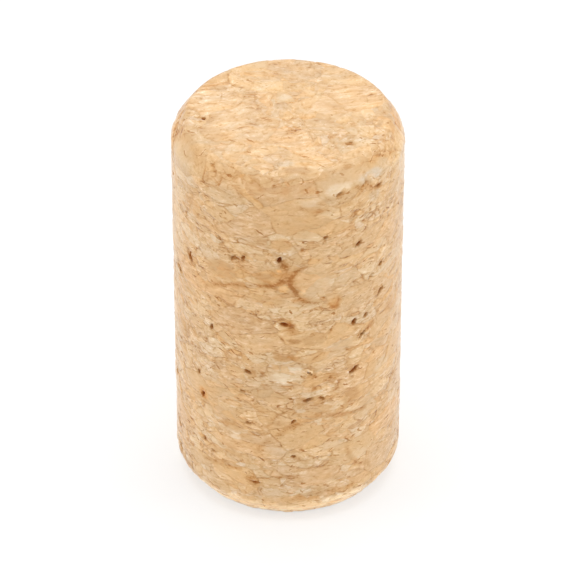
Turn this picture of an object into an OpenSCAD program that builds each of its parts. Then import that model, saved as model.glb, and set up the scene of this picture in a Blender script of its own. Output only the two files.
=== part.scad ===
// A stopper of pressed cork granules: a straight round body with a soft chamfer at each end.
// It stands on its lower end face. The origin is the middle of that face and +Z runs along the axis.
// The side that faces -Y is the front.

/* [Body] */
// Diameter of the straight body
body_diameter = 24; // [18:0.5:34]
// Length from end face to end face
body_length = 44; // [30:1:60]

/* [Chamfers] */
// How far each chamfer runs in from the side
chamfer_width = 1.5; // [0.8:0.1:2.5]
// How far each chamfer runs along the body
chamfer_height = 2.1; // [1.2:0.1:3]
// Radius of the soft edge between the side and a chamfer
side_edge_radius = 2; // [0.5:0.25:2.5]
// Radius of the soft edge between a chamfer and an end face
face_edge_radius = 0.8; // [0.3:0.1:1.2]

/* [Pits] */
// Number of open pits on the side, besides those of the front
scattered_pits = 40; // [0:1:60]
// Number of open pits on the lower face
end_pits = 5; // [0:1:16]
// Length of the longest pit
pit_length = 1.8; // [1:0.1:3]
// Width of the widest pit
pit_width = 0.6; // [0.3:0.1:1]
// Depth of the deepest pit below the surface
pit_depth = 0.8; // [0.4:0.1:1.4]
// Steepest slope of a pit's floor, in degrees
pit_slope = 28; // [0:2:40]
// Steepest tilt of a scattered pit off the level, in degrees
pit_tilt = 45; // [0:5:90]

/* [Hidden] */
$fn = 96;

body_radius = body_diameter / 2;
face_radius = body_radius - chamfer_width;

// The pits of the front, placed by eye: [turn from the front in degrees, share of the body's
// length from the lower end, share of the longest length, share of the widest width, tilt in degrees]
front_pits = [
    [-57, 0.706, 0.55, 0.8, 80], [-51, 0.381, 0.35, 0.6, 0], [-48, 0.322, 0.40, 0.8, 50],
    [-47, 0.189, 0.30, 0.4, -30], [-41, 0.542, 0.40, 0.6, 70], [-41, 0.167, 0.45, 0.4, -15],
    [-35, 0.811, 0.50, 0.3, -45], [-27, 0.767, 0.75, 0.5, 5], [-23, 0.383, 0.35, 0.6, -30],
    [-22, 0.777, 0.35, 0.4, 60], [-20, 0.445, 0.50, 0.4, -20], [-20, 0.292, 0.30, 0.3, 0],
    [-17, 0.115, 0.75, 0.4, -5], [-4, 0.784, 0.45, 0.7, 50], [-2, 0.598, 0.75, 0.6, -5],
    [3, 0.202, 0.30, 0.6, 0], [3, 0.309, 0.30, 0.4, 10], [10, 0.370, 0.70, 0.3, 20],
    [11, 0.449, 0.40, 0.3, -45], [17, 0.372, 0.50, 0.3, -15], [19, 0.839, 0.35, 0.4, 0],
    [22, 0.428, 0.40, 0.4, -10], [26, 0.948, 0.60, 0.4, 20], [35, 0.570, 0.50, 0.7, 55],
    [35, 0.429, 0.75, 0.7, 20], [37, 0.791, 0.55, 0.6, 40], [40, 0.523, 0.90, 0.5, 35],
    [42, 0.573, 0.40, 0.5, 50], [42, 0.950, 0.50, 0.4, 20], [46, 0.680, 0.45, 0.4, 10],
    [50, 0.926, 0.45, 0.7, 20], [53, 0.618, 0.70, 0.6, 35], [53, 0.700, 0.50, 0.5, 40]
];

// The pits of the upper face, placed by eye: [share of the face radius to the right, the same to
// the back, share of the longest length, share of the widest width, tilt in degrees]
upper_face_pits = [
    [0.58, -0.45, 0.45, 0.5, -5], [0.05, -0.25, 0.60, 0.3, -25], [-0.81, -0.04, 0.25, 0.5, 60]
];

// The front spans this many degrees to each side, and the scattered pits take the rest
front_reach = 66;
// Smallest length and width of a scattered pit, as shares of the largest
smallest_pit = 0.30;
// How far a pit's wide part moves off its middle, as a share of its length
pit_belly = 0.2;
// Part of the length that scattered pits keep clear of at each end
end_margin = 0.06;
// Part of the face radius that the lower face's pits keep within
end_spread = 0.85;

// How far a scattered pit strays from its even place, as a share of the room it has
pit_stray = 0.12;

// Steps that spread numbers evenly between 0 and 1 without repeating
turn_step = 0.755;
height_step = 0.570;
size_step = 0.857;
tilt_step = 0.629;

// The counter-th number of such a spread, the same in each build
function spread(counter, step) = (counter * step) % 1;
// The same, between -1 and 1
function swing(counter, step) = 2 * spread(counter, step) - 1;
// The same, with an uneven stray added
function strayed(counter, step, stray_step) =
    (spread(counter, step) + pit_stray * spread(counter * counter, stray_step)) % 1;

// What a soft edge takes off a corner of the profile, so that an arc joins its two lines
module corner_waste(before, corner, after, radius) {
    to_before = (before - corner) / norm(before - corner);
    to_after = (after - corner) / norm(after - corner);
    half_angle = acos(to_before * to_after) / 2;
    reach = radius / tan(half_angle);
    inwards = (to_before + to_after) / norm(to_before + to_after);
    centre = corner + inwards * radius / sin(half_angle);
    difference() {
        polygon([corner, corner + to_before * reach, centre, corner + to_after * reach]);
        translate(centre) circle(r = radius);
    }
}

// Half of the stopper's section, from the axis outwards
module section() {
    axis_low = [0, 0];
    face_low = [face_radius, 0];
    side_low = [body_radius, chamfer_height];
    side_high = [body_radius, body_length - chamfer_height];
    face_high = [face_radius, body_length];
    axis_high = [0, body_length];
    difference() {
        polygon([axis_low, face_low, side_low, side_high, face_high, axis_high]);
        corner_waste(axis_low, face_low, side_low, face_edge_radius);
        corner_waste(face_low, side_low, side_high, side_edge_radius);
        corner_waste(side_low, side_high, face_high, side_edge_radius);
        corner_waste(side_high, face_high, axis_high, face_edge_radius);
    }
}

// An angular pit where a granule's corner is missing. The surface is at z = 0 and +Z points
// out of it. The pit is long in X, its wide part is moved along it by a share of the length,
// and its floor slopes. Its length and width are shares of the largest ones.
module pit(length_share, width_share, tilt, slope, belly) {
    length = pit_length * length_share;
    width = pit_width * width_share;
    depth = pit_depth * (0.3 + 0.4 * length_share + 0.3 * width_share);
    outline = [
        [-0.50 * length, 0.10 * width],
        [(belly - 0.15) * length, -0.50 * width],
        [(belly + 0.10) * length, -0.40 * width],
        [0.50 * length, 0.05 * width],
        [(0.08 - belly) * length, 0.50 * width],
        [(-0.16 - belly) * length, 0.30 * width]
    ];
    rotate([slope, 0, tilt])
        linear_extrude(2 * depth, center = true)
            polygon(outline);
}

// A pit on the side, turned from the front and at a share of the body's length
module side_pit(turn, share, length_share, width_share, tilt, slope, belly) {
    rotate([0, 0, turn - 90])
        translate([body_radius, 0, share * body_length])
            rotate([90, 0, 90])
                pit(length_share, width_share, tilt, slope, belly);
}

// The pits that the front shows
module front_side_pits() {
    for (i = [0 : len(front_pits) - 1]) {
        row = front_pits[i];
        slope = pit_slope * swing(i, size_step);
        belly = pit_belly * swing(i, tilt_step);
        side_pit(row[0], row[1], row[2], row[3], row[4], slope, belly);
    }
}

// The pits of the sides and the back
module scattered_side_pits() {
    for (i = [0 : scattered_pits - 1]) {
        turn = front_reach + (360 - 2 * front_reach) * strayed(i, turn_step, size_step);
        share = end_margin + (1 - 2 * end_margin) * strayed(i, height_step, tilt_step);
        length_share = smallest_pit + (1 - smallest_pit) * pow(spread(i, size_step), 2);
        width_share = smallest_pit + (1 - smallest_pit) * spread(i * i, turn_step);
        tilt = pit_tilt * swing(i, tilt_step);
        slope = pit_slope * swing(i, size_step);
        belly = pit_belly * swing(i, turn_step);
        side_pit(turn, share, length_share, width_share, tilt, slope, belly);
    }
}

// The pits that the upper face shows, at z = 0 with +Z pointing out of the face
module placed_face_pits() {
    for (i = [0 : len(upper_face_pits) - 1]) {
        row = upper_face_pits[i];
        slope = pit_slope * swing(i, size_step);
        translate([row[0] * face_radius, row[1] * face_radius, 0])
            pit(row[2], row[3], row[4], slope, pit_belly * swing(i, tilt_step));
    }
}

// The pits of the lower face, at z = 0 with +Z pointing out of the face
module scattered_face_pits() {
    for (i = [1 : end_pits]) {
        radius = end_spread * face_radius * sqrt(spread(i, height_step));
        length_share = smallest_pit * (1 + spread(i, size_step));
        slope = pit_slope * swing(i, tilt_step);
        belly = pit_belly * swing(i, size_step);
        rotate([0, 0, 360 * spread(i, turn_step)])
            translate([radius, 0, 0])
                pit(length_share, length_share, 360 * spread(i, tilt_step), slope, belly);
    }
}

module stopper() {
    color("burlywood")
        difference() {
            rotate_extrude() section();
            front_side_pits();
            scattered_side_pits();
            translate([0, 0, body_length]) placed_face_pits();
            mirror([0, 0, 1]) scattered_face_pits();
        }
}

stopper();
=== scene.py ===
import math
from types import SimpleNamespace

import bmesh
import bpy
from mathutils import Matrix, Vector
from mathutils.bvhtree import BVHTree
from mathutils.kdtree import KDTree
from mathutils.noise import noise_vector as noiseVector, seed_set as seedNoise


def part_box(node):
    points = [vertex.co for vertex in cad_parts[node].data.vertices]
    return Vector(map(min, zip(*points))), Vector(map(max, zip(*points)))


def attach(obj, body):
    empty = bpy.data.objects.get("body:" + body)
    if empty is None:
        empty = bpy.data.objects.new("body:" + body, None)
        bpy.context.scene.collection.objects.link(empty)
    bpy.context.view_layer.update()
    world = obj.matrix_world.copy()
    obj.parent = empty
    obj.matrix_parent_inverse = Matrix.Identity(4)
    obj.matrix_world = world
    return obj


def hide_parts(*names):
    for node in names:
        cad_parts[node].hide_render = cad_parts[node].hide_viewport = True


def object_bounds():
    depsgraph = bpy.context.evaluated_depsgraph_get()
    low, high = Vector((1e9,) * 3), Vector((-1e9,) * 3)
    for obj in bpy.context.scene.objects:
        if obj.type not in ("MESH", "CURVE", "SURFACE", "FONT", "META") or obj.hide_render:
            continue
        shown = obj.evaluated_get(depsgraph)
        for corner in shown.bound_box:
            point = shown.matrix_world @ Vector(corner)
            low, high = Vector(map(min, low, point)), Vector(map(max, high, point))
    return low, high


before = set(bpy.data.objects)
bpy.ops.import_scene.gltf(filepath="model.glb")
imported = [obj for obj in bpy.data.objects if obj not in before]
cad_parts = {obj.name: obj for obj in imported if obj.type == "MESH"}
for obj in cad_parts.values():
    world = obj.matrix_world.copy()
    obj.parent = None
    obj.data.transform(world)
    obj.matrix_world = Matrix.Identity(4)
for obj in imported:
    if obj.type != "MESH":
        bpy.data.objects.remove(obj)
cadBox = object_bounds()
millimetre = 0.001
tiny = 1e-6
noiseSeed = 7
seedNoise(noiseSeed)
print("stage: frame loaded")


# What one stopper's mesh is cut from. Lengths are in metres.
stopperShape = {
    "facesAlongQuarter": 76,          # faces along each quarter of the round
    "facesUpSide": 160,               # faces from the rim of one end face to that of the other
    "chamferWidth": 1.5 * millimetre,
    "chamferHeight": 2.1 * millimetre,
    "sideEdgeRadius": 2.0 * millimetre,
    "faceEdgeRadius": 0.8 * millimetre,
    "weldReach": 0.0001 * millimetre,  # how near two corners of the solid's faces are one
    "probeStart": 0.5 * millimetre,   # how far outside the surface the pits are probed from
    "pitThreshold": 0.05 * millimetre,
    "pitCuts": 2,                     # how often the faces about a pit are cut again
    "rimSize": 0.40 * millimetre,     # length of the waves in a pit's rim
    "rimBend": 0.09 * millimetre,     # how far those waves reach
    "fineRim": 3.1,                   # how many fine waves run along one of those
    "fineRimShare": 0.4,              # share of their reach that the fine waves have
    "searchReach": 0.13 * millimetre,  # how far about a vertex a pit is looked for
    "wallReach": 0.05 * millimetre,   # how far about a vertex its depth is averaged
}


# The half section as stretches of the form (length, turn), walked from the middle of the lower face
def sectionStretches(shape, radius, height):
    chamferLength = math.hypot(shape["chamferWidth"], shape["chamferHeight"])
    chamferSlope = math.atan2(shape["chamferHeight"], shape["chamferWidth"])
    faceTurn = chamferSlope
    sideTurn = math.pi / 2 - chamferSlope
    faceReach = shape["faceEdgeRadius"] * math.tan(faceTurn / 2)
    sideReach = shape["sideEdgeRadius"] * math.tan(sideTurn / 2)
    half = [
        (radius - shape["chamferWidth"] - faceReach, 0.0),
        (shape["faceEdgeRadius"] * faceTurn, faceTurn),
        (chamferLength - faceReach - sideReach, 0.0),
        (shape["sideEdgeRadius"] * sideTurn, sideTurn),
        (height / 2 - shape["chamferHeight"] - sideReach, 0.0),
    ]
    return half + half[::-1]


# Where a walk of the given length along those stretches ends: distance from the axis, and height
def walkSection(stretches, walk):
    place = Vector((0.0, 0.0))
    heading = 0.0
    for length, turn in stretches:
        step = min(walk, length)
        if abs(turn) < tiny:
            place += step * Vector((math.cos(heading), math.sin(heading)))
        else:
            bend = turn / length
            after = heading + bend * step
            rise = math.cos(heading) - math.cos(after)
            place += Vector((math.sin(after) - math.sin(heading), rise)) / bend
            heading = after
        walk -= step
        if walk <= 0:
            break
    return place


# The turn about Z at which the cube's upright line at x and y ends up
def squareTurn(x, y):
    if max(abs(x), abs(y)) < tiny:
        return 0.0
    if abs(x) >= abs(y):
        return math.pi / 4 * (y / x) + (math.pi if x < 0 else 0.0)
    return math.pi / 2 - math.pi / 4 * (x / y) + (math.pi if y < 0 else 0.0)


def edgeRise(edge):
    return abs(edge.verts[0].co.z - edge.verts[1].co.z)


# A cube cut into small faces, then each vertex put where the stopper's surface is. The cube runs
# from -1 to 1.
def makeBlank(shape, radius, height):
    blank = bmesh.new()
    bmesh.ops.create_cube(blank, size=2)
    upright = [edge for edge in blank.edges if edgeRise(edge) > tiny]
    bmesh.ops.subdivide_edges(blank, edges=upright, cuts=shape["facesUpSide"] - 1)
    level = [edge for edge in blank.edges if edgeRise(edge) < tiny]
    bmesh.ops.subdivide_edges(
        blank, edges=level, cuts=shape["facesAlongQuarter"] - 1, use_grid_fill=True)
    stretches = sectionStretches(shape, radius, height)
    whole = sum(length for length, turn in stretches)
    faceLength = stretches[0][0]
    for vertex in blank.verts:
        x, y, z = vertex.co
        reach = max(abs(x), abs(y))
        turn = squareTurn(x, y)
        walk = faceLength * reach if z < 0 else whole - faceLength * reach
        if reach > 1 - tiny:
            walk = faceLength + (whole - 2 * faceLength) * (z + 1) / 2
        across, up = walkSection(stretches, walk)
        vertex.co = Vector((across * math.cos(turn), across * math.sin(turn), up))
    bmesh.ops.recalc_face_normals(blank, faces=blank.faces)
    return blank


# How deep the solid's pits are below each vertex. Each probe starts at a place bent by noise, which
# gives the pits ragged rims, and a few probes side by side give them sloping walls.
def probePits(blank, solid, shape, reach):
    blank.normal_update()
    depths = {}
    for vertex in blank.verts:
        normal = vertex.normal
        wave = vertex.co / shape["rimSize"]
        bend = noiseVector(wave) * shape["rimBend"]
        bend += noiseVector(wave * shape["fineRim"]) * shape["rimBend"] * shape["fineRimShare"]
        bend -= normal * bend.dot(normal)
        across = normal.orthogonal().normalized() * reach
        aside = normal.cross(across)
        offsets = (Vector(), across, -across, aside, -aside)
        summed = 0.0
        for offset in offsets:
            start = vertex.co + bend + offset + normal * shape["probeStart"]
            hit = solid.ray_cast(start, -normal)
            depth = (hit[3] or shape["probeStart"]) - shape["probeStart"]
            summed += depth if depth > shape["pitThreshold"] else 0.0
        depths[vertex] = summed / len(offsets)
    return depths


# The largest distance, in millimetres, that the vertex layers below hold
farGap = 3.0


# Listed marks of the front. Turns from the front are in degrees, all else is in
# millimetres, apart from tone (darker below 0), hue (redder above 0) and calm (0 to 1).
marks = {
    # lines between granules, each a list of (turn, height, half width)
    "seams": [
        [(-44, 28.7, -0.02), (-36, 29.8, 0.04), (-24, 30.6, 0.06), (-13, 31.0, 0.10),
         (-8, 31.1, 0.20), (-5, 31.5, 0.20), (0, 32.0, 0.19)],
        [(9, 33.7, 0.00), (5, 33.2, 0.12), (1, 32.1, 0.17), (1, 31.4, 0.21), (3, 30.6, 0.22),
         (6, 29.6, 0.10), (9, 29.2, 0.08), (14, 28.9, 0.04), (18, 29.0, 0.00)],
        [(-8, 31.1, 0.16), (-5, 30.8, 0.08), (-1, 30.2, 0.00)],
        [(-4, 34.3, 0.00), (-3, 33.8, 0.14), (-1, 33.5, 0.16)],
        [(15, 41.3, -0.10), (20, 41.4, -0.08), (26, 41.6, -0.02), (30, 41.9, -0.10)],
        [(33, 42.0, -0.08), (37, 41.8, 0.06), (42, 41.8, 0.02), (46, 41.1, 0.00),
         (50, 40.8, -0.06)],
        [(6, 41.0, -0.04), (13, 40.3, 0.00), (23, 40.2, -0.06), (31, 40.3, -0.06),
         (38, 41.3, -0.04)],
        [(-15, 9.8, 0.00), (-9, 11.1, 0.00), (-1, 12.4, 0.00), (6, 13.5, 0.02), (17, 14.1, 0.00),
         (30, 13.4, 0.04), (42, 13.2, -0.02)],
        [(8, 16.1, -0.08), (11, 16.5, -0.14), (14, 16.7, -0.08), (18, 16.3, -0.10),
         (23, 16.1, -0.08)],
        [(-6, 18.4, -0.06), (-1, 18.2, -0.04), (4, 18.7, -0.06)],
        [(6, 7.2, -0.10), (16, 7.3, -0.08), (24, 8.1, -0.06)],
        [(-47, 5.6, -0.02), (-35, 6.3, -0.02), (-25, 6.4, 0.00)],
        [(-19, 5.7, 0.00), (-6, 6.0, 0.00), (6, 6.2, 0.04)],
        [(1, 3.1, 0.00), (14, 3.7, 0.00), (30, 3.4, 0.00), (35, 3.5, 0.06)],
        [(31, 8.9, -0.02), (33, 7.1, 0.00), (38, 6.1, 0.02), (46, 5.2, -0.04)],
        [(35, 22.9, 0.00), (40, 23.2, 0.02), (46, 23.7, -0.02)],
        [(-59, 31.3, 0.00), (-55, 30.5, 0.02)],
        [(0, 26.4, 0.02), (3, 25.3, 0.02)],
        [(-17, 19.6, 0.00), (-12, 19.7, 0.00)],
        [(4, 8.7, 0.00), (9, 8.1, 0.00)],
    ],
    "seamStep": 0.15,         # how close the places are that stand for a line
    "strayReach": 0.20,       # how far the marks' edges stray
    "straySize": 1.1,
    "patchEnd": 1.2,          # where a patch ends, as a share of its half width
    "patchFade": 0.4,         # the part of that share over which it fades
    "topReach": 1.0,          # how near the upper face its patches show
    # patches of the side: (turn, height, half width, half height, tone, hue, calm)
    "patches": [
        (-12, 43.2, 1.7, 0.8, -0.25, -0.03, 0.3),
        (-1, 42.9, 0.8, 0.7, -0.44, 0.02, 0.3),
        (-34, 42.1, 3.0, 0.6, -0.37, -0.04, 0.2),
        (-54, 37.9, 1.2, 1.0, -0.20, 0.02, 0.2),
        (32, 42.9, 3.6, 0.8, 0.13, -0.05, 0.5),
        (46, 42.3, 1.7, 0.6, 0.28, -0.14, 0.3),
        (11, 38.6, 2.6, 1.3, -0.18, 0.02, 0.4),
        (47, 39.9, 0.8, 0.7, 0.28, -0.12, 0.2),
        (16, 41.4, 2.6, 0.6, 0.20, -0.04, 0.5),
        (-34, 31.8, 2.0, 1.1, -0.48, 0.02, 0.7),
        (12, 31.6, 2.1, 2.0, -0.05, 0.01, 0.5),
        (7, 30.3, 0.4, 0.3, 0.38, 0.14, 0.4),
        (12, 34.2, 1.1, 0.5, -0.12, 0.06, 0.4),
        (-4, 32.7, 0.9, 0.5, -0.58, 0.08, 0.4),
        (24, 28.4, 0.8, 0.7, -0.48, 0.13, 0.2),
        (24, 27.8, 0.6, 0.3, -1.00, 0.07, 0.2),
        (-2, 30.9, 0.5, 0.5, 0.28, 0.20, 0.6),
        (-4, 33.3, 0.2, 0.2, 0.20, 0.28, 0.6),
        (2, 26.1, 0.4, 0.3, -1.60, -0.08, 0.2),
        (-1, 26.4, 0.6, 0.3, -1.00, 0.12, 0.0),
        # this one lightens a pit: painted light over the shade inside it
        (11, 19.9, 0.4, 0.3, 1.20, 0.20, 0.0),
        (35, 18.8, 0.6, 0.3, -0.80, 0.05, 0.0),
        (-20, 19.6, 0.3, 0.2, -0.50, 0.00, 0.0),
        (-6, 22.5, 0.3, 0.2, -1.25, 0.00, 0.2),
        (28, 22.7, 1.4, 0.7, -0.08, -0.04, 0.6),
        (0, 20.0, 1.7, 0.8, 0.38, 0.00, 0.4),
        (-6, 20.7, 0.4, 0.4, -0.38, 0.12, 0.5),
        (-12, 19.6, 0.2, 0.2, -1.15, -0.05, 0.2),
        (-48, 14.4, 0.7, 0.7, -0.54, 0.19, 0.2),
        (33, 15.7, 1.1, 1.0, -0.60, -0.01, 0.3),
        (-36, 13.4, 1.8, 1.0, -0.12, 0.00, 0.5),
        (3, 24.2, 0.7, 0.3, -1.05, -0.10, 0.2),
        (-1, 22.0, 1.4, 0.4, -0.85, 0.07, 0.2),
        (-10, 17.1, 2.2, 0.9, -0.17, -0.01, 0.5),
        (-27, 10.6, 0.6, 0.4, 0.54, 0.00, 0.5),
        (-36, 23.6, 1.4, 0.7, -0.30, 0.02, 0.3),
        (-31, 17.0, 1.5, 0.9, -0.26, 0.01, 0.3),
        (-10, 29.2, 1.6, 0.6, -0.28, 0.04, 0.3),
        (-5, 6.9, 1.5, 0.8, 0.14, -0.02, 0.4),
        (-6, 9.6, 1.3, 0.7, 0.13, -0.08, 0.5),
        (16, 5.7, 1.7, 1.3, -0.04, 0.02, 0.5),
        (5, 13.6, 0.7, 0.4, 0.54, 0.04, 0.2),
        (22, 9.8, 1.6, 0.5, 0.10, -0.06, 0.5),
        (37, 7.2, 1.3, 0.8, 0.22, -0.03, 0.6),
        # the next three lie on the lower chamfer: the first makes its front lighter, more painted
        # light thrown up from the floor, and the other two make it darker at the left and right
        (0, 1.2, 8.0, 0.5, 0.12, 0.14, 0.0),
        (-66, 2.0, 3.0, 1.0, -0.90, 0.00, 0.0),
        (62, 2.0, 3.0, 1.0, -0.32, 0.02, 0.0),
        (26, 42.3, 1.5, 0.5, 0.42, 0.00, 0.2),
        (12, 7.8, 1.6, 0.6, 0.14, -0.08, 0.2),
        (-3, 36.4, 1.1, 0.8, -0.48, 0.11, 0.2),
        (-11, 31.5, 0.9, 0.5, -0.26, 0.03, 0.2),
        (13, 24.2, 1.3, 0.7, -0.38, -0.04, 0.2),
        (55, 17.3, 1.3, 0.8, 0.27, -0.07, 0.4),
        (56, 31.6, 1.0, 0.7, 0.56, 0.00, 0.2),
        (16, 16.9, 1.5, 0.6, 0.48, -0.04, 0.2),
        (1, 14.1, 0.9, 0.5, 0.14, 0.00, 0.2),
        (3, 4.3, 1.6, 0.6, 0.18, 0.00, 0.2),
        (-6, 8.0, 1.2, 0.5, 0.20, 0.01, 0.2),
        (51, 20.5, 1.2, 0.7, -0.38, -0.04, 0.2),
        (-29, 11.9, 1.4, 0.6, -0.48, 0.03, 0.2),
        (-66, 20.6, 1.6, 1.0, -0.54, 0.02, 0.2),
        (66, 24.1, 1.6, 1.0, -0.38, 0.07, 0.2),
        # these two lighten the upper chamfer at the left and right, taking back part of its painted
        # shade
        (-66, 42.4, 2.4, 1.0, 0.20, -0.04, 0.2),
        (55, 42.4, 1.5, 0.8, 0.21, -0.12, 0.2),
        (20, 8.3, 1.4, 0.6, 0.30, 0.00, 0.2),
        (0, 18.9, 1.2, 0.4, 0.54, 0.01, 0.2),
        (-12, 32.3, 1.2, 0.5, -0.50, -0.07, 0.2),
        (-42, 16.0, 1.4, 1.0, -0.22, 0.02, 0.2),
        (44, 13.9, 1.2, 0.6, -0.36, -0.04, 0.2),
        (-32, 8.8, 1.3, 0.6, -0.28, 0.00, 0.2),
    ],
    # patches of the upper face: (x, y, half width, half depth, tone, hue, calm)
    "topPatches": [
        (9.3, -1.3, 0.3, 0.5, -0.46, -0.10, 0.6),
        (6.1, -4.8, 1.0, 0.3, -0.42, 0.03, 0.2),
        (-0.3, 3.5, 0.7, 0.5, 0.35, -0.05, 0.3),
        (2.7, 0.9, 1.8, 0.6, 0.20, -0.06, 0.4),
        (-8.9, -0.3, 0.5, 0.4, 0.18, -0.04, 0.2),
        (-7.0, 4.9, 1.0, 0.6, -0.12, -0.13, 0.4),
        (1.0, -9.6, 1.4, 0.6, -0.64, -0.05, 0.3),
        (-0.3, -8.4, 0.9, 0.5, 0.20, -0.13, 0.4),
    ],
}


def placeOnSide(turn, height, radius):
    angle = math.radians(turn - 90)
    return Vector((radius * math.cos(angle), radius * math.sin(angle), height))


# A tree that finds the nearest of some places
def nearestTree(places):
    tree = KDTree(len(places))
    for index, place in enumerate(places):
        tree.insert(place, index)
    tree.balance()
    return tree


# Places along the lines between granules, each with the line's half width
def seamPoints(setup, radius):
    points = []
    for stroke in setup["seams"]:
        for start, end in zip(stroke, stroke[1:]):
            length = math.hypot(math.radians(end[0] - start[0]) * radius, end[1] - start[1])
            steps = max(1, round(length / setup["seamStep"]))
            for step in range(steps + 1):
                turn, up, half = Vector(start).lerp(Vector(end), step / steps)
                points.append((placeOnSide(turn, up, radius), half))
    return points


# The share of a patch's values at a reach, which is 1 at the patch's own half width
def patchShare(reach, setup):
    return min(max((setup["patchEnd"] - reach) / setup["patchFade"], 0.0), 1.0)


# Tone, hue and calm that all patches together give to a place
def patchValues(place, setup, radius, onTop):
    values = Vector()
    for turn, up, across, tall, *patch in setup["patches"]:
        gap = place - placeOnSide(turn, up, radius)
        reach = math.hypot(math.hypot(gap.x, gap.y) / across, gap.z / tall)
        values += Vector(patch) * patchShare(reach, setup)
    for x, y, across, deep, *patch in setup["topPatches"] if onTop else ():
        reach = math.hypot((place.x - x) / across, (place.y - y) / deep)
        values += Vector(patch) * patchShare(reach, setup)
    return values


# Vertex layers from those marks: "seam" is the distance beyond the nearest line's half width, and
# "patch" holds tone, hue and calm
def paintMarks(blank, setup, radius, height):
    seamLayer = blank.verts.layers.float["seam"]
    patchLayer = blank.verts.layers.float_vector["patch"]
    points = seamPoints(setup, radius)
    tree = nearestTree([point for point, half in points])
    for vertex in blank.verts:
        place = vertex.co / millimetre
        place += noiseVector(place / setup["straySize"]) * setup["strayReach"]
        index, distance = tree.find(place)[1:]
        vertex[seamLayer] = min(distance - points[index][1], farGap)
        onTop = place.z > height - setup["topReach"]
        if onTop or place.y <= 0:
            vertex[patchLayer] = patchValues(place, setup, radius, onTop)


# How far each vertex is from the nearest pit, in millimetres
def paintHalos(blank):
    pitLayer = blank.verts.layers.float["pit"]
    haloLayer = blank.verts.layers.float["halo"]
    pitted = [vertex.co.copy() for vertex in blank.verts if vertex[pitLayer] > 0]
    tree = nearestTree(pitted)
    for vertex in blank.verts:
        distance = tree.find(vertex.co)[2] if pitted else farGap
        vertex[haloLayer] = min(distance / millimetre, farGap)


# The blank with smaller faces about the pits, and the pits pressed in
def makeStopper(shape, node):
    low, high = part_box(node)
    radius = (high.x - low.x) / 2
    height = high.z - low.z
    blank = makeBlank(shape, radius, height)
    for name in ("pit", "halo", "seam"):
        blank.verts.layers.float.new(name)
    blank.verts.layers.float_vector.new("patch")
    solidMesh = bmesh.new()
    solidMesh.from_mesh(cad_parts[node].data)
    bmesh.ops.remove_doubles(solidMesh, verts=solidMesh.verts, dist=shape["weldReach"])
    solid = BVHTree.FromBMesh(solidMesh)
    depths = probePits(blank, solid, shape, shape["searchReach"])
    pitted = {face for vertex, depth in depths.items() if depth > 0 for face in vertex.link_faces}
    edges = list({edge for face in pitted for edge in face.edges})
    bmesh.ops.subdivide_edges(blank, edges=edges, cuts=shape["pitCuts"], use_grid_fill=True)
    depths = probePits(blank, solid, shape, shape["wallReach"])
    pitLayer = blank.verts.layers.float["pit"]
    for vertex, depth in depths.items():
        vertex[pitLayer] = depth / millimetre
    paintHalos(blank)
    paintMarks(blank, marks, radius / millimetre, height / millimetre)
    for vertex, depth in depths.items():
        vertex.co -= vertex.normal * depth
    for face in blank.faces:
        face.smooth = True
    mesh = bpy.data.meshes.new("stopper_cork")
    blank.to_mesh(mesh)
    blank.free()
    solidMesh.free()
    piece = bpy.data.objects.new("stopper_cork", mesh)
    bpy.context.scene.collection.objects.link(piece)
    print("stage: stopper of", len(mesh.polygons), "faces")
    return piece


# Node helpers that work in material trees and geometry trees alike
def feed(tree, value, socket):
    if isinstance(value, bpy.types.NodeSocket):
        tree.links.new(value, socket)
    else:
        socket.default_value = value


def maths(tree, operation, *values):
    node = tree.nodes.new("ShaderNodeMath")
    node.operation = operation
    for value, socket in zip(values, node.inputs):
        feed(tree, value, socket)
    return node.outputs[0]


def times(tree, *values):
    result = values[0]
    for value in values[1:]:
        result = maths(tree, "MULTIPLY", result, value)
    return result


def total(tree, *values):
    result = values[0]
    for value in values[1:]:
        result = maths(tree, "ADD", result, value)
    return result


def minus(tree, value, other):
    return maths(tree, "SUBTRACT", value, other)


# How far two numbers are apart
def gapTo(tree, value, other):
    return maths(tree, "ABSOLUTE", minus(tree, value, other))


def vectorMaths(tree, operation, *values):
    node = tree.nodes.new("ShaderNodeVectorMath")
    node.operation = operation
    for value, socket in zip(values, node.inputs):
        feed(tree, value, socket)
    givesNumber = operation in ("DOT_PRODUCT", "LENGTH")
    return node.outputs["Value" if givesNumber else "Vector"]


def scaled(tree, vector, factor):
    node = tree.nodes.new("ShaderNodeVectorMath")
    node.operation = "SCALE"
    feed(tree, vector, node.inputs[0])
    feed(tree, factor, node.inputs["Scale"])
    return node.outputs["Vector"]


def parts(tree, vector):
    node = tree.nodes.new("ShaderNodeSeparateXYZ")
    feed(tree, vector, node.inputs[0])
    return node.outputs[0], node.outputs[1], node.outputs[2]


def combined(tree, *values):
    node = tree.nodes.new("ShaderNodeCombineXYZ")
    for value, socket in zip(values, node.inputs):
        feed(tree, value, socket)
    return node.outputs[0]


def noise(tree, place, scale, detail=2.0, roughness=0.5):
    node = tree.nodes.new("ShaderNodeTexNoise")
    feed(tree, place, node.inputs["Vector"])
    feed(tree, scale, node.inputs["Scale"])
    node.inputs["Detail"].default_value = detail
    node.inputs["Roughness"].default_value = roughness
    return node


def cells(tree, place, size, feature="F1"):
    node = tree.nodes.new("ShaderNodeTexVoronoi")
    node.feature = feature
    feed(tree, place, node.inputs["Vector"])
    node.inputs["Scale"].default_value = 1 / size
    return node


# A smooth change while a value goes from start to end. Groups of four numbers in the settings
# below are such steps: (start, end, first result, last result).
def smoothStep(tree, value, start, end, first=0.0, last=1.0):
    node = tree.nodes.new("ShaderNodeMapRange")
    node.interpolation_type = "SMOOTHSTEP"
    for given, socket in zip((value, start, end, first, last), node.inputs):
        feed(tree, given, socket)
    return node.outputs[0]


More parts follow.
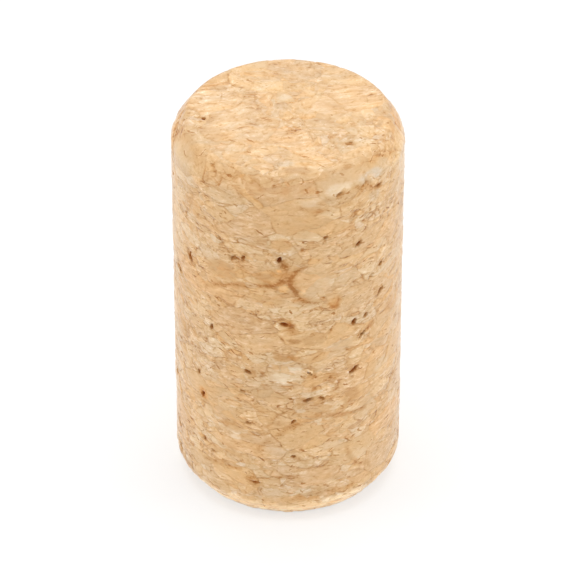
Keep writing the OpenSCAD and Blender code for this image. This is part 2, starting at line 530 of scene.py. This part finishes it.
# The first value where the share is 0 and the second where it is 1
def mixed(tree, share, first, second, kind="FLOAT"):
    node = tree.nodes.new("ShaderNodeMix")
    node.data_type = kind
    firstInput, output = {"FLOAT": (2, 0), "VECTOR": (4, 1)}[kind]
    feed(tree, share, node.inputs[0])
    feed(tree, first, node.inputs[firstInput])
    feed(tree, second, node.inputs[firstInput + 1])
    return node.outputs[output]


# A noise value turned from 0..1 to a swing about zero
def centred(tree, value, swing):
    return times(tree, minus(tree, value, 0.5), 2 * swing)


# The same for all three parts of a vector
def centredVector(tree, vector, swing):
    return scaled(tree, vectorMaths(tree, "SUBTRACT", vector, (0.5, 0.5, 0.5)), 2 * swing)


def attribute(tree, name, output="Fac"):
    node = tree.nodes.new("ShaderNodeAttribute")
    node.attribute_name = name
    return node.outputs[output]


# The pressed granules: sizes in millimetres, shares from 0 to 1
granules = {
    "flattening": 2.1,       # how much wider than tall a granule is
    "largeSize": 5.2,
    "mediumSize": 2.5,
    "crumbSize": 1.2,
    "splitLarge": 0.30,      # share of large granules that stay whole
    "splitMedium": 0.50,     # share of medium granules that stay whole
    "bendSize": 5.0,
    "bend": 1.4,
    "bendUp": 0.45,          # share of that bend along the axis
    "raggedSize": 1.5,
    "ragged": 0.30,
    "layerBend": 0.22,       # share of those bends that the growth layers take
    "endReach": 1.6,         # granules centred this near an end face have layers across it
}


# Granule pattern at a place given in millimetres: the place with its bends, the distance to the
# granule's edge, its three random numbers, and its centre's height
def granulePattern(tree, place, setup):
    bend = noise(tree, place, 1 / setup["bendSize"], detail=1.0).outputs["Color"]
    bend = centredVector(tree, bend, setup["bend"])
    bend = vectorMaths(tree, "MULTIPLY", bend, (1.0, 1.0, setup["bendUp"]))
    ragged = noise(tree, place, 1 / setup["raggedSize"], detail=3.0, roughness=0.6)
    ragged = centredVector(tree, ragged.outputs["Color"], setup["ragged"])
    both = vectorMaths(tree, "ADD", bend, ragged)
    bent = vectorMaths(tree, "ADD", place, both)
    flow = vectorMaths(tree, "ADD", place, scaled(tree, both, setup["layerBend"]))
    squashed = vectorMaths(tree, "MULTIPLY", bent, (1.0, 1.0, setup["flattening"]))

    levels = []
    for size in (setup["largeSize"], setup["mediumSize"], setup["crumbSize"]):
        cell = cells(tree, squashed, size)
        centre = parts(tree, cell.outputs["Position"])[2]
        centre = maths(tree, "DIVIDE", centre, setup["flattening"])
        edge = cells(tree, squashed, size, "DISTANCE_TO_EDGE").outputs["Distance"]
        levels.append((cell.outputs["Color"], times(tree, edge, size), centre))
    largeNumber, largeEdge, largeCentre = levels[0]
    mediumNumber, mediumEdge, mediumCentre = levels[1]
    crumbNumber, crumbEdge, crumbCentre = levels[2]

    isMedium = maths(tree, "GREATER_THAN", parts(tree, largeNumber)[0], setup["splitLarge"])
    isCrumb = maths(tree, "GREATER_THAN", parts(tree, mediumNumber)[1], setup["splitMedium"])
    isCrumb = times(tree, isMedium, isCrumb)

    insideMedium = maths(tree, "MINIMUM", largeEdge, mediumEdge)
    insideCrumb = maths(tree, "MINIMUM", insideMedium, crumbEdge)
    edge = mixed(tree, isMedium, largeEdge, insideMedium)
    edge = mixed(tree, isCrumb, edge, insideCrumb)
    number = mixed(tree, isMedium, largeNumber, mediumNumber, "VECTOR")
    number = mixed(tree, isCrumb, number, crumbNumber, "VECTOR")
    centre = mixed(tree, isMedium, largeCentre, mediumCentre)
    centre = mixed(tree, isCrumb, centre, crumbCentre)
    return SimpleNamespace(bent=bent, flow=flow, edge=edge, number=number, centre=centre)


# The relief that the mesh itself carries, which only ever sinks it
relief = {
    "seamDepth": 0.07 * millimetre,
    "seamWidth": 0.28,              # in millimetres, as the next size
    "wavinessSize": 2.0,
    "waviness": 0.05 * millimetre,
    "wavinessTop": 0.8,             # the noise value that stays at the surface
    "granuleStep": 0.07 * millimetre,
}


def addRelief(piece, setup):
    tree = bpy.data.node_groups.new("granule_relief", "GeometryNodeTree")
    for direction in ("INPUT", "OUTPUT"):
        tree.interface.new_socket(
            "Geometry", in_out=direction, socket_type="NodeSocketGeometry")
    given = tree.nodes.new("NodeGroupInput")
    result = tree.nodes.new("NodeGroupOutput")
    position = tree.nodes.new("GeometryNodeInputPosition").outputs[0]
    normal = tree.nodes.new("GeometryNodeInputNormal").outputs[0]
    place = scaled(tree, position, 1 / millimetre)
    pattern = granulePattern(tree, place, granules)
    seam = smoothStep(tree, pattern.edge, 0.0, setup["seamWidth"], -setup["seamDepth"], 0.0)
    third = parts(tree, pattern.number)[2]
    step = times(tree, minus(tree, third, 1.0), setup["granuleStep"])
    wave = noise(tree, place, 1 / setup["wavinessSize"]).outputs[0]
    wave = times(tree, minus(tree, wave, setup["wavinessTop"]), 2 * setup["waviness"])
    lift = maths(tree, "MINIMUM", total(tree, seam, step, wave), 0.0)
    move = tree.nodes.new("GeometryNodeSetPosition")
    feed(tree, given.outputs[0], move.inputs["Geometry"])
    feed(tree, scaled(tree, normal, lift), move.inputs["Offset"])
    tree.links.new(move.outputs[0], result.inputs[0])
    modifier = piece.modifiers.new("granule_relief", "NODES")
    modifier.node_group = tree
    bpy.context.view_layer.objects.active = piece
    piece.select_set(True)
    bpy.ops.object.modifier_apply(modifier=modifier.name)
    print("stage: granule relief applied")


# Sizes are in millimetres. Tones are darker below 0, hues are redder above 0. Names that begin
# with "end" are for the end faces.
corkLook = {
    "base": (0.705, 0.472, 0.258),    # linear red, green and blue of a plain granule
    "toneShares": (0.28, 0.50, 0.82),  # a darker tone takes most from the blue
    "hueShares": (0.79, 0.38, -0.48),
    "pinkShares": (0.50, -0.80, 0.30),
    "endZone": (0.7, 0.05),           # how near its face an end's look starts and is full
    "endCalm": 0.15,                  # how far it loses its contrast
    # each granule's own tint
    "granuleTone": 0.26,
    "granuleHue": 0.05,
    "granulePink": 0.008,
    "coarseHue": -0.10,               # how much redder a darker granule is
    "endGranule": 0.35,               # share of that tint that is left there
    "endHue": -0.05,
    # areas of several granules
    "areaSize": 6.0,
    "areaTone": 0.13,
    "areaHue": 0.09,
    "areaContrast": (0.35, 0.65, 0.75, 1.2),    # share of all contrast that an area has
    # growth layers
    "layerSize": 0.36,
    "layerLength": 3.2,               # how much longer than thick a layer's stretches are
    "layerTone": 0.86,
    "layerTilt": 0.16,
    "layerShift": 97.0,               # how far apart in the noise the granules' layers are
    "layerRoughness": 0.68,
    "wrapReach": 0.8,                 # how near a granule's edge the layers bend
    "wrap": 0.27,                     # and how far
    "slit": (0.34, 0.25, 0.0, -0.80),  # where a layer is at its darkest
    "granuleContrast": (0.0, 1.0, 0.35, 1.3),   # share of it that a granule has
    "pitContrast": (0.1, 1.0, 1.5, 1.0),        # the same by the distance from a pit
    "markContrast": (0.0, 0.5, 0.35, 1.0),      # the same by that from a placed line
    "endLayerSize": 0.52,
    "endLayer": 1.32,                 # share of the layers' contrast there
    "endTilt": 0.75,
    # soft flat patches within the granules
    "lensSize": 1.5,
    "lensFlattening": 2.0,
    "lensShift": 31.0,
    "lensTone": 0.20,
    "lensHue": 0.07,
    "endLensSize": 2.6,
    "endLens": 2.3,
    # small flecks, wider than tall
    "fleckSize": 0.44,
    "fleckFlattening": 2.0,
    "fleckPink": 0.02,
    "paleFleck": (0.54, 0.72, 0.0, 0.34),
    "darkFleck": (0.44, 0.28, 0.0, -0.60),
    "endFleck": 1.5,
    # lines between granules
    "maskScale": 0.55,                # waves to a millimetre in the noise that makes them faint
    "line": (0.0, 0.24, -0.62, 0.0),
    "lineMask": (0.40, 0.62, 0.0, 1.0),
    "endLines": 0.38,
    # short dark stretches of those lines
    "dashScale": 1.1,
    "dash": (0.52, 0.66, 0.0, -0.90),
    "dashWidth": (0.03, 0.15, 1.0, 0.0),
    "dashLayer": (0.54, 0.44, 0.15, 1.0),       # how faint they are where a layer is pale
    # long wavy lines, where the levels of a flattened noise cross
    "waveSize": 5.0,
    "waveFlattening": 3.0,
    "waveCount": 7.0,
    "wave": (0.02, 0.10, -0.50, 0.0),
    "waveMask": (0.56, 0.42, 0.0, 1.0),
    # the listed lines, and the dark glow about them
    "mark": (-0.10, 0.16, -1.20, 0.0),
    "markRough": 0.3,
    "glow": (-0.2, 0.60, -0.80, 0.0),
    "glowRough": 0.6,
    # the lower chamfer and the side just above it, made lighter as painted light thrown up from the
    # floor, and the upper chamfer, made darker as painted shade
    "footBounce": (2.8, 2.0),               # heights where the lower chamfer's painted bounce light starts and is full
    "footBounceRough": 1.0,
    # painted bounce light from the floor: how much lighter and redder the lower chamfer is
    "footBounceTone": 0.68,
    "footBounceHue": 0.10,
    # painted bounce light from the floor on the side above the lower chamfer, lighter towards the
    # bottom
    "low": (8.0, 3.0, 0.0, 0.12),
    "headShade": (1.9, 1.2),               # the same for the upper one's painted shade, downwards from the upper face
    "headShadeEnd": (0.05, 0.20),          # how far below that face it has ended and is still full
    "headShadeRough": 0.6,
    # painted shade: how much darker the upper chamfer is
    "headShadeTone": -0.24,
    # the pits' stained halo, and their rim and floor, darker with depth: partly their own dark
    # brown and partly painted shade
    "halo": (0.1, 0.50, -0.40, 0.0),
    "haloRough": 2.6,
    "haloFine": 0.8,
    "haloGap": 0.2,
    "rim": (0.05, 0.28, 0.0, -0.9),
    "floor": (0.20, 0.55, 0.0, -2.1),
    "stainAndShadeHue": -0.06,                # how much redder the pits are where their stain and painted shade are darker
    # the shader
    "bumpStrength": 0.6,
    "bumpHeight": 0.06 * millimetre,
    "shader": {
        "Roughness": 0.78,
        "Specular IOR Level": 0.2,
        "Sheen Weight": 0.6,
        "Sheen Roughness": 0.35,
    },
}


# Short dark strokes with pale edges, which are a painted highlight along their lips, in millimetres
strokeLook = {
    "cellSize": 1.40,         # width of the cells that may each hold one
    "flattening": 2.0,
    "share": 0.33,            # share of the cells that do
    "crowdScale": 0.22,       # waves to a millimetre in the noise that crowds them
    "crowd": (0.35, 0.65, 0.5, 1.5),
    "nearAxis": 0.1,          # no place counts as nearer the axis than this
    "slope": 0.80,            # the steepest slope, to either side
    "wobble": 0.25,           # how far the flecks' noise bends them
    "length": (0.12, 0.46),   # smallest and largest half length
    "width": (0.06, 0.13),    # the same for the half width
    "toneCount": 7.0,         # how often a cell's number runs through all tones
    "tone": (0.2, 1.0, -0.35, -1.90),
    "core": (0.2, 1.6, 1.0, 0.0),
    "highlightReach": (0.06, 0.12),  # how much longer and wider the pale edge, a painted highlight, is
    # how light the painted highlight along each stroke's edge is
    "glow": (0.5, 1.4, 0.22, 0.0),
}


# What several layers of the look share at a place of the surface. The functions below take it
# as their "at".
def surfaceValues(tree, look):
    coordinates = tree.nodes.new("ShaderNodeTexCoord").outputs["Object"]
    place = scaled(tree, coordinates, 1 / millimetre)
    x, y, z = parts(tree, place)
    pattern = granulePattern(tree, place, granules)
    middle = (cadBox[0].z + cadBox[1].z) / 2 / millimetre
    offMiddle = gapTo(tree, z, middle)
    endStart, endFull = look["endZone"]
    end = smoothStep(tree, offMiddle, middle - endStart, middle - endFull)
    centreOff = gapTo(tree, pattern.centre, middle)
    atEnd = maths(tree, "GREATER_THAN", centreOff, middle - granules["endReach"])
    patch = parts(tree, attribute(tree, "patch", "Vector"))
    calm = maths(tree, "MAXIMUM", times(tree, end, look["endCalm"]), patch[2])
    calm = minus(tree, 1.0, calm)
    area = parts(tree, noise(tree, place, 1 / look["areaSize"]).outputs["Color"])
    contrast = times(tree, calm, smoothStep(tree, area[2], *look["areaContrast"]))
    flat = vectorMaths(tree, "MULTIPLY", pattern.bent, (1.0, 1.0, look["fleckFlattening"]))
    fleck = noise(tree, flat, 1 / look["fleckSize"], roughness=0.6).outputs[0]
    mask = noise(tree, place, look["maskScale"], detail=3.0, roughness=0.6).outputs[0]
    seamGap = attribute(tree, "seam")
    return SimpleNamespace(
        place=place, x=x, y=y, z=z, middle=middle, offMiddle=offMiddle, end=end, atEnd=atEnd,
        pattern=pattern, numbers=parts(tree, pattern.number), patch=patch, area=area,
        calm=calm, contrast=contrast, fleck=fleck, mask=mask, seamGap=seamGap,
        pitGap=attribute(tree, "halo"), plain=smoothStep(tree, seamGap, *look["markContrast"]))


# Tone and hue of each granule, of areas of several granules, and of the placed patches
def granuleTints(tree, at, look):
    own = centred(tree, at.numbers[0], look["granuleTone"])
    own = times(tree, own, mixed(tree, at.end, 1.0, look["endGranule"]))
    tone = total(
        tree, times(tree, own, at.calm), centred(tree, at.area[0], look["areaTone"]))
    hue = total(
        tree,
        centred(tree, at.numbers[2], look["granuleHue"]),
        centred(tree, at.area[1], look["areaHue"]),
        at.patch[1],
        times(tree, tone, look["coarseHue"]),
        times(tree, at.end, look["endHue"]))
    return total(tree, tone, at.patch[0]), hue


# Growth layers: each granule has its own direction, mostly lying flat, and its own contrast.
# Gives the layers' noise and their tone.
def growthLayers(tree, at, look):
    tip = centredVector(tree, at.pattern.number, 0.5)
    tip = vectorMaths(tree, "MULTIPLY", tip, (1.0, 1.0, 0.0))
    tip = scaled(tree, tip, mixed(tree, at.atEnd, look["layerTilt"], look["endTilt"]))
    growth = mixed(tree, at.atEnd, (0.0, 0.0, 1.0), (0.0, 1.0, 0.0), "VECTOR")
    growth = vectorMaths(tree, "NORMALIZE", vectorMaths(tree, "ADD", tip, growth))
    along = vectorMaths(tree, "DOT_PRODUCT", at.pattern.flow, growth)
    wrap = maths(tree, "MINIMUM", at.pattern.edge, look["wrapReach"])
    along = total(tree, along, times(tree, wrap, look["wrap"]))
    thickness = mixed(tree, at.atEnd, look["layerSize"], look["endLayerSize"])
    along = maths(tree, "DIVIDE", along, thickness)
    along = total(tree, along, times(tree, at.numbers[1], look["layerShift"]))
    length = times(tree, thickness, look["layerLength"])
    across = maths(tree, "DIVIDE", at.x, length)
    other = maths(tree, "DIVIDE", mixed(tree, at.atEnd, at.y, at.z), length)
    layer = combined(tree, across, other, along)
    layer = noise(tree, layer, 1.0, roughness=look["layerRoughness"]).outputs[0]

    contrast = smoothStep(tree, at.numbers[1], *look["granuleContrast"])
    contrast = times(tree, contrast, mixed(tree, at.end, 1.0, look["endLayer"]))
    contrast = times(tree, contrast, smoothStep(tree, at.pitGap, *look["pitContrast"]))
    slit = smoothStep(tree, layer, *look["slit"])
    tone = total(tree, centred(tree, layer, look["layerTone"]), slit)
    return layer, times(tree, tone, contrast, at.contrast, at.plain)


# Tone and hue of soft flat patches within the granules
def softPatches(tree, at, look):
    flattening = look["lensFlattening"]
    place = mixed(tree, at.atEnd, at.pattern.flow, at.pattern.bent, "VECTOR")
    shift = scaled(tree, at.pattern.number, look["lensShift"])
    place = vectorMaths(tree, "ADD", place, shift)
    flatten = mixed(tree, at.atEnd, (1, 1, flattening), (1, flattening, 1), "VECTOR")
    place = vectorMaths(tree, "MULTIPLY", place, flatten)
    scale = mixed(tree, at.atEnd, 1 / look["lensSize"], 1 / look["endLensSize"])
    lens = noise(tree, place, scale, detail=1.0)
    strength = mixed(tree, at.end, 1.0, look["endLens"])
    tone = centred(tree, lens.outputs[0], look["lensTone"])
    hue = centred(tree, parts(tree, lens.outputs["Color"])[1], look["lensHue"])
    return times(tree, tone, at.contrast, strength), times(tree, hue, strength)


# Tone of the strokes, at most one to a cell, each with a painted highlight along its edge. They lie
# along the level on the side and along X on the end faces.
def strokeTone(tree, at, look):
    flat = vectorMaths(tree, "MULTIPLY", at.place, (1.0, 1.0, look["flattening"]))
    cell = cells(tree, flat, look["cellSize"])
    offset = vectorMaths(tree, "SUBTRACT", flat, cell.outputs["Position"])
    first, second, third = parts(tree, cell.outputs["Color"])
    offX, offY, offZ = parts(tree, offset)
    radius = maths(tree, "SQRT", total(tree, times(tree, at.x, at.x), times(tree, at.y, at.y)))
    radius = maths(tree, "MAXIMUM", radius, look["nearAxis"])
    across = total(tree, times(tree, at.x, offY), times(tree, at.y, offX, -1.0))
    across = mixed(tree, at.end, maths(tree, "DIVIDE", across, radius), offX)
    up = mixed(tree, at.end, times(tree, offZ, 1 / look["flattening"]), offY)
    up = total(tree, up, times(tree, across, centred(tree, third, look["slope"])))
    up = total(tree, up, centred(tree, at.fleck, look["wobble"]))
    crowd = noise(tree, at.place, look["crowdScale"], detail=1.0).outputs[0]
    share = times(tree, smoothStep(tree, crowd, *look["crowd"]), look["share"])
    chosen = maths(tree, "LESS_THAN", first, share)
    length = smoothStep(tree, second, 0.0, 1.0, *look["length"])
    width = smoothStep(tree, third, 0.0, 1.0, *look["width"])
    tone = maths(tree, "FRACT", times(tree, second, look["toneCount"]))
    tone = smoothStep(tree, tone, *look["tone"])

    # 1 at the edge of an ellipse with these half sizes, and less inside it
    def away(halfLength, halfWidth):
        shares = (maths(tree, "DIVIDE", across, halfLength), maths(tree, "DIVIDE", up, halfWidth))
        return total(tree, *(maths(tree, "POWER", share, 2.0) for share in shares))

    moreLength, moreWidth = look["highlightReach"]
    core = smoothStep(tree, away(length, width), *look["core"])
    # the pale edge about each stroke is a painted highlight
    wider = away(total(tree, length, moreLength), total(tree, width, moreWidth))
    glow = smoothStep(tree, wider, *look["glow"])
    return times(tree, chosen, total(tree, times(tree, core, tone), glow))


# Tone of the lines between granules, faint in places, and of long wavy lines
def lineTone(tree, at, layer, look):
    line = smoothStep(tree, at.pattern.edge, *look["line"])
    line = times(tree, line, smoothStep(tree, at.mask, *look["lineMask"]), at.contrast)
    dash = noise(tree, at.place, look["dashScale"], roughness=0.6).outputs[0]
    dash = times(tree, smoothStep(tree, dash, *look["dash"]), at.contrast, at.plain)
    dash = times(tree, dash, smoothStep(tree, at.pattern.edge, *look["dashWidth"]))
    dash = times(tree, dash, smoothStep(tree, layer, *look["dashLayer"]))
    line = times(tree, total(tree, line, dash), mixed(tree, at.end, 1.0, look["endLines"]))

    wavy = (1.0, 1.0, look["waveFlattening"])
    wavy = vectorMaths(tree, "MULTIPLY", at.pattern.flow, wavy)
    wavy = noise(tree, wavy, 1 / look["waveSize"]).outputs[0]
    wavy = maths(tree, "FRACT", times(tree, wavy, look["waveCount"]))
    wave = smoothStep(tree, gapTo(tree, wavy, 0.5), *look["wave"])
    wave = times(tree, wave, smoothStep(tree, at.mask, *look["waveMask"]))
    return total(tree, line, times(tree, wave, at.contrast, at.plain))


# Tone of the listed lines
def markTone(tree, at, look):
    mark = total(tree, at.seamGap, centred(tree, at.fleck, look["markRough"]))
    glow = total(tree, at.seamGap, centred(tree, at.mask, look["glowRough"]))
    mark = smoothStep(tree, mark, *look["mark"])
    return total(tree, mark, smoothStep(tree, glow, *look["glow"]))


# Where the lower chamfer and the upper one are, from 0 to 1: the shares of the painted bounce light
# on the lower one and of the painted shade on the upper one
def chamferShares(tree, at, look):
    footBounce = total(tree, at.z, centred(tree, at.mask, look["footBounceRough"]))
    footBounce = smoothStep(tree, footBounce, *look["footBounce"])
    headShade = total(tree, at.offMiddle, centred(tree, at.mask, look["headShadeRough"]))
    headShade = smoothStep(tree, headShade, *(at.middle - reach for reach in look["headShade"]))
    headShade = times(tree, headShade, maths(tree, "GREATER_THAN", at.z, at.middle))
    headShadeEnd = smoothStep(tree, at.offMiddle, *(at.middle - reach for reach in look["headShadeEnd"]))
    return footBounce, times(tree, headShade, headShadeEnd)


# Tones of the pits: stained about the rim, and darker with depth at the rim and floor, partly their
# own dark brown and partly painted shade
def pitTones(tree, at, look):
    halo = total(
        tree,
        at.pitGap,
        centred(tree, at.mask, look["haloRough"]),
        centred(tree, at.fleck, look["haloFine"]),
        look["haloGap"])
    depth = attribute(tree, "pit")
    places = ((halo, look["halo"]), (depth, look["rim"]), (depth, look["floor"]))
    return [smoothStep(tree, value, *step) for value, step in places]


def corkMaterial(look, strokes):
    material = bpy.data.materials.new("pressed_cork")
    material.use_nodes = True
    tree = material.node_tree
    shader = tree.nodes["Principled BSDF"]
    at = surfaceValues(tree, look)

    tone, hue = granuleTints(tree, at, look)
    layer, layerTone = growthLayers(tree, at, look)
    lensTone, lensHue = softPatches(tree, at, look)
    pale = smoothStep(tree, at.fleck, *look["paleFleck"])
    dark = smoothStep(tree, at.fleck, *look["darkFleck"])
    flecks = times(tree, total(tree, pale, dark), at.contrast)
    flecks = times(tree, flecks, mixed(tree, at.end, 1.0, look["endFleck"]))
    stroke = times(tree, strokeTone(tree, at, strokes), at.contrast, at.plain)
    line = lineTone(tree, at, layer, look)
    # painted bounce light from the floor: lighter towards the bottom
    low = smoothStep(tree, at.z, *look["low"])
    footBounce, headShade = chamferShares(tree, at, look)
    pits = pitTones(tree, at, look)

    tone = total(tree, tone, layerTone, lensTone, flecks, stroke)
    # the side near the bottom and the lower chamfer made lighter: painted light thrown up from the
    # floor
    tone = total(tree, tone, line, markTone(tree, at, look), low)
    tone = total(tree, tone, times(tree, footBounce, look["footBounceTone"]))
    # the upper chamfer made darker as painted shade, then the pits' tones
    tone = total(tree, tone, times(tree, headShade, look["headShadeTone"]), *pits)
    # the painted bounce light on the lower chamfer also makes it redder
    hue = total(tree, hue, lensHue, times(tree, footBounce, look["footBounceHue"]))
    # the pits' stain and painted shade made redder where darker
    hue = total(tree, hue, times(tree, total(tree, *pits), look["stainAndShadeHue"]))
    pink = total(
        tree,
        centred(tree, at.numbers[1], look["granulePink"]),
        centred(tree, at.fleck, look["fleckPink"]))

    colour = []
    shares = zip(look["base"], look["toneShares"], look["hueShares"], look["pinkShares"])
    for level, toneShare, hueShare, pinkShare in shares:
        power = total(tree, times(tree, tone, toneShare), times(tree, hue, hueShare))
        power = total(tree, power, times(tree, pink, pinkShare))
        colour.append(times(tree, maths(tree, "EXPONENT", power), level))
    tree.links.new(combined(tree, *colour), shader.inputs["Base Color"])

    bump = tree.nodes.new("ShaderNodeBump")
    bump.inputs["Strength"].default_value = look["bumpStrength"]
    bump.inputs["Distance"].default_value = look["bumpHeight"]
    feed(tree, total(tree, layerTone, line, pale), bump.inputs["Height"])
    tree.links.new(bump.outputs[0], shader.inputs["Normal"])
    for name, value in look["shader"].items():
        shader.inputs[name].default_value = value
    print("stage: cork material made")
    return material


# The floor, the lamps and the camera. Lengths are in metres.
stageSetup = {
    "floorSize": 6.0,
    "floorColour": (0.90, 0.90, 0.90, 1.0),
    "floorRoughness": 0.9,
    "floorWhite": (0.06, 0.30, 0.60, 1.0),      # share of plain white that the camera sees of it
    "worldColour": (1.0, 1.0, 1.0, 1.0),
    "ambient": 0.55,
    "lamps": [
        # name, place, size, power
        ("overhead", (0.0, 0.10, 0.90), 0.70, 5.7),
        ("left", (-0.80, -0.10, 0.35), 0.50, 1.85),
        ("right", (0.80, -0.10, 0.35), 0.50, 2.05),
        ("front", (0.0, -0.80, 0.15), 0.50, 0.7),
    ],
    "cameraPlace": (0.0011, -0.3344, 0.2751),   # where the photograph was taken from
    "clipStart": 0.01,
    "lens": 250,
}


# 1 for what the camera sees, also in a mirror or through glass, and 0 for what lights the object
def seenShare(tree):
    rays = tree.nodes.new("ShaderNodeLightPath").outputs
    seen = maths(tree, "MAXIMUM", rays["Is Camera Ray"], rays["Is Glossy Ray"])
    return maths(tree, "MAXIMUM", seen, rays["Is Transmission Ray"])


# The floor fades to plain white away from the object, and keeps its shadow
def makeFloor(setup):
    bpy.ops.mesh.primitive_plane_add(size=setup["floorSize"])
    floor = bpy.context.object
    floor.name = "floor"
    material = bpy.data.materials.new("white_floor")
    material.use_nodes = True
    tree = material.node_tree
    shader = tree.nodes["Principled BSDF"]
    shader.inputs["Base Color"].default_value = setup["floorColour"]
    shader.inputs["Roughness"].default_value = setup["floorRoughness"]
    white = tree.nodes.new("ShaderNodeEmission")
    place = tree.nodes.new("ShaderNodeTexCoord").outputs["Object"]
    reach = vectorMaths(tree, "LENGTH", place)
    whiteShare = smoothStep(tree, reach, *setup["floorWhite"])
    share = tree.nodes.new("ShaderNodeMixShader")
    feed(tree, times(tree, seenShare(tree), whiteShare), share.inputs[0])
    tree.links.new(shader.outputs[0], share.inputs[1])
    tree.links.new(white.outputs[0], share.inputs[2])
    tree.links.new(share.outputs[0], tree.nodes["Material Output"].inputs["Surface"])
    floor.data.materials.append(material)


def makeWorld(setup):
    world = bpy.data.worlds.new("studio")
    bpy.context.scene.world = world
    world.use_nodes = True
    tree = world.node_tree
    background = tree.nodes["Background"]
    strength = mixed(tree, seenShare(tree), setup["ambient"], 1.0)
    tree.links.new(strength, background.inputs["Strength"])
    background.inputs["Color"].default_value = setup["worldColour"]


# A lamp's or a camera's holder, turned to the middle of the stopper
def aimed(name, data, place):
    target = Vector((0.0, 0.0, (cadBox[0].z + cadBox[1].z) / 2))
    holder = bpy.data.objects.new(name, data)
    holder.location = place
    holder.rotation_euler = (target - holder.location).to_track_quat("-Z", "Y").to_euler()
    bpy.context.scene.collection.objects.link(holder)
    return holder


def makeStage(setup):
    makeFloor(setup)
    makeWorld(setup)
    for name, place, size, power in setup["lamps"]:
        lamp = bpy.data.lights.new(name, "AREA")
        lamp.size = size
        lamp.energy = power
        aimed(name, lamp, place)
    camera = bpy.data.cameras.new("camera")
    camera.lens = setup["lens"]
    camera.clip_start = setup["clipStart"]
    bpy.context.scene.camera = aimed("camera", camera, setup["cameraPlace"])
    bpy.context.scene.view_settings.view_transform = "Standard"
    print("stage: floor, lamps and camera set")


stopper = makeStopper(stopperShape, "stopper")
addRelief(stopper, relief)
stopper.data.materials.append(corkMaterial(corkLook, strokeLook))
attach(stopper, "root")
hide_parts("stopper")
makeStage(stageSetup)
